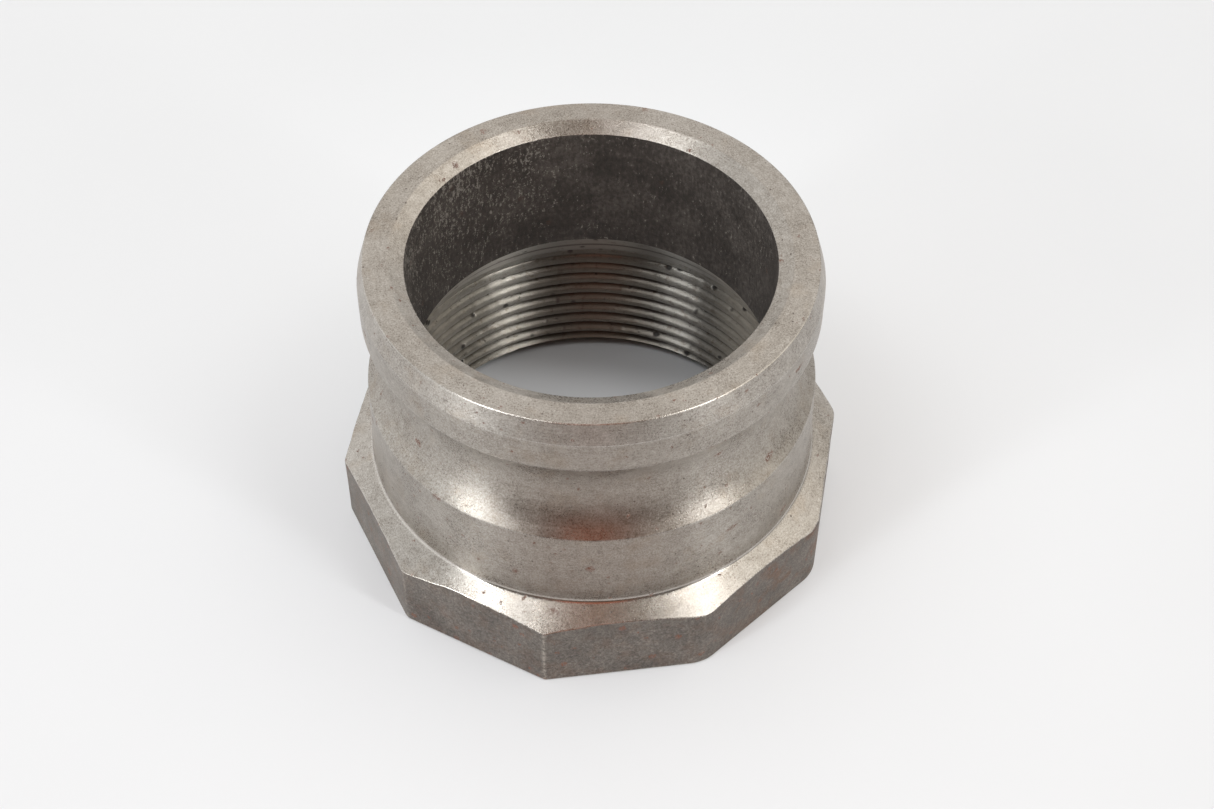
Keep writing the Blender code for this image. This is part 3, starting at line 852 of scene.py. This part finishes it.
def around(azimuth, elevation, distance, centre=Vector((0, 0, 0.5 * HEIGHT))):
    """A place seen from the part: azimuth 0 is towards the camera, positive to the viewer's right."""
    a, e = math.radians(azimuth), math.radians(elevation)
    return centre + spin @ Vector((math.sin(a) * math.cos(e), -math.cos(a) * math.cos(e), math.sin(e))) * distance


target = Vector((0.0687 * UNIT, 0, 0.5639 * UNIT))
back = Vector((0, -math.cos(ELEV), math.sin(ELEV)))
right = Vector((1, 0, 0))
up = back.cross(right)
cr, sr = math.cos(ROLL), math.sin(ROLL)
right, up = cr * right + sr * up, -sr * right + cr * up
place = spin @ (target + back * DIST)
right, up, back = spin @ right, spin @ up, spin @ back
cam = bpy.data.cameras.new("camera")
cam.sensor_width = 36.0
cam.lens = 2034.77 / 1214.0 * 36.0
cam.clip_start = 0.01
cam_obj = bpy.data.objects.new("camera", cam)
cam_obj.matrix_world = Matrix(((right.x, up.x, back.x, place.x), (right.y, up.y, back.y, place.y), (right.z, up.z, back.z, place.z), (0, 0, 0, 1)))
bpy.context.scene.collection.objects.link(cam_obj)
bpy.context.scene.camera = cam_obj

# ---------------------------------------------------------------- floor and light
fm = Nodes("studio_floor")
f1 = fm.noise(fm.p, 0.02, 2, 0.5)
fm.put(fm.bsdf.inputs["Base Color"], fm.ramp(f1, [(0.3, (0.560, 0.568, 0.582)), (0.7, (0.570, 0.578, 0.592))]))
fm.put(fm.bsdf.inputs["Roughness"], fm.step(fm.noise(fm.p, 0.6, 2), 0.3, 0.7, 0.55, 0.65))
fm.bsdf.inputs["Specular IOR Level"].default_value = 0.25
fm.bsdf.inputs["Emission Color"].default_value = (0.97, 0.985, 1.0, 1.0)      # a glowing table top: painted light
# painted light: the floor glows more round the part's foot and on its camera side, lifting the shade there, and a
# little less far out
under = fm.step(fm.math("ADD", fm.y, fm.math("MULTIPLY", fm.x, 0.3)), 17.0, 27.0, 0.150, 0.0)
painted_floor_glow = fm.math("MAXIMUM", fm.step(fm.r, 30.0, 36.0, 0.0, 0.240), under)
fm.put(fm.bsdf.inputs["Emission Strength"], fm.math("SUBTRACT", painted_floor_glow, fm.step(fm.r, 55.0, 120.0, 0.0, 0.045)))
# a wide floor with a disc inside the bore's mouth; nothing lies right under the base face, so the two never share a plane
ring_n, outer_r, rest_r, disc_r = 180, 3.2, 33.9 * MM, 30.7 * MM
ring = [(math.cos(2 * math.pi * i / ring_n), math.sin(2 * math.pi * i / ring_n)) for i in range(ring_n)]
floor_co = [(x * r, y * r, low.z) for r in (outer_r, rest_r, disc_r) for x, y in ring]
floor_faces = [(i, (i + 1) % ring_n, ring_n + (i + 1) % ring_n, ring_n + i) for i in range(ring_n)]
floor_faces.append(tuple(range(2 * ring_n, 3 * ring_n)))
floor_mesh = bpy.data.meshes.new("floor")
floor_mesh.from_pydata(floor_co, [], floor_faces)
floor = bpy.data.objects.new("floor", floor_mesh)
bpy.context.scene.collection.objects.link(floor)
floor.data.materials.append(fm.mat)
floor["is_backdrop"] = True

# the room: pale all round, brighter to the left and high on the right, dim where a person would stand
world = bpy.data.worlds.new("studio")
bpy.context.scene.world = world
world.use_nodes = True
wt = world.node_tree
wbg = wt.nodes["Background"]


class WorldNodes(Nodes):
    def __init__(self, tree):
        self.nt = tree


w = WorldNodes(wt)
direction = wt.nodes.new("ShaderNodeTexCoord").outputs["Generated"]


def along(vector):
    n = wt.nodes.new("ShaderNodeVectorMath")
    n.operation = "DOT_PRODUCT"
    wt.links.new(direction, n.inputs[0])
    n.inputs[1].default_value = tuple(vector)
    return n.outputs["Value"]


front = along(spin @ Vector((0, -1, 0)))
aside = along(spin @ Vector((1, 0, 0)))
upward = along(Vector((0, 0, 1)))
level = w.math("SQRT", w.math("ADD", w.math("MULTIPLY", front, front), w.math("ADD", w.math("MULTIPLY", aside, aside), 0.0001)))
cos_az = w.math("DIVIDE", front, level)
sin_az = w.math("DIVIDE", aside, level)
room = w.mix(w.step(upward, 0.0, 0.9), (0.90, 0.90, 0.89), (1.0, 0.97, 0.93))
left_side = w.mix(w.step(upward, 0.25, 0.62), (1.34, 1.365, 1.38), (0.84, 0.85, 0.85))
room = w.mix(w.step(sin_az, -0.50, -0.92), room, left_side)
right_side = w.mix(w.step(upward, 0.20, 0.56), (0.50, 0.485, 0.465), (1.52, 1.47, 1.37))
room = w.mix(w.step(sin_az, 0.35, 0.85), room, right_side)
room = w.mix(w.step(upward, 0.90, 0.975), room, w.mix(w.step(front, -0.42, -0.08), (1.0, 0.93, 0.86), (0.34, 0.285, 0.25)))
dim = w.math("MULTIPLY", w.step(cos_az, 0.60, 0.80), w.step(upward, 0.94, 0.74))
room = w.mix(dim, room, (0.17, 0.145, 0.13))
wt.links.new(room, wbg.inputs[0])
wbg.inputs[1].default_value = 1.0


def softbox(name, azimuth, low_elevation, high_elevation, width, radiance, colour=(1, 1, 1), distance=0.9):
    """An upright strip of light facing the part, given by what it covers as seen from the part."""
    mid, half = (low_elevation + high_elevation) / 2, (high_elevation - low_elevation) / 2
    data = bpy.data.lights.new(name, "AREA")
    data.shape = "RECTANGLE"
    data.size, data.size_y = width, 2 * distance * math.tan(math.radians(half))
    data.energy = radiance * math.pi * data.size * data.size_y
    data.color = colour
    obj = bpy.data.objects.new(name, data)
    pos = around(azimuth, mid, distance)
    obj.location = pos
    obj.rotation_euler = (Vector((0, 0, 0.5 * HEIGHT)) - pos).to_track_quat("-Z", "Y").to_euler()
    obj.visible_camera = False
    bpy.context.scene.collection.objects.link(obj)
    return obj


softbox("softbox_left", -53, 3, 64, 0.078, 10.6, (0.93, 0.975, 1.0))
softbox("softbox_right", 55, 10, 66, 0.075, 8.6, (0.97, 0.985, 1.0))
softbox("softbox_high_right", 63, 55, 69, 0.18, 1.8, (1.0, 0.985, 0.96))
softbox("softbox_far_left", -69, 58, 70, 0.080, 7.5, (0.97, 0.985, 1.0))
softbox("softbox_high_left", -44, 61, 74, 0.115, 8.2, (0.97, 0.985, 1.0))


def flag(name, azimuth, dist, z0, z1, colour):
    """A coloured card behind the camera, seen only in the metal."""
    me = bpy.data.meshes.new(name)
    corners = []
    for a, z in ((-azimuth, z0), (azimuth, z0), (azimuth, z1), (-azimuth, z1)):
        p = spin @ Vector((math.sin(math.radians(a)) * dist, -math.cos(math.radians(a)) * dist, z))
        corners.append(p)
    me.from_pydata(corners, [], [(0, 1, 2, 3)])
    mat = bpy.data.materials.new(name)
    mat.use_nodes = True
    nt = mat.node_tree
    nt.nodes.clear()
    em = nt.nodes.new("ShaderNodeEmission")
    em.inputs["Color"].default_value = (*colour, 1)
    out = nt.nodes.new("ShaderNodeOutputMaterial")
    nt.links.new(em.outputs[0], out.inputs["Surface"])
    me.materials.append(mat)
    obj = bpy.data.objects.new(name, me)
    bpy.context.scene.collection.objects.link(obj)
    obj.visible_camera = False
    obj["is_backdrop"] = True
    return obj


flag("flag_dark", 25, 0.275, low.z + 0.001, 0.13, (0.19, 0.125, 0.10))
flag("flag_warm", 15, 0.270, 0.12, 0.36, (0.64, 0.235, 0.15))
flag("flag_dim", 15, 0.270, 0.34, 0.52, (0.62, 0.56, 0.51))

bpy.context.scene.view_settings.view_transform = "Standard"

size = {"cad_low": list(cad_low), "cad_high": list(cad_high)}
lo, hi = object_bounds()
size["visual_low"], size["visual_high"] = list(lo), list(hi)
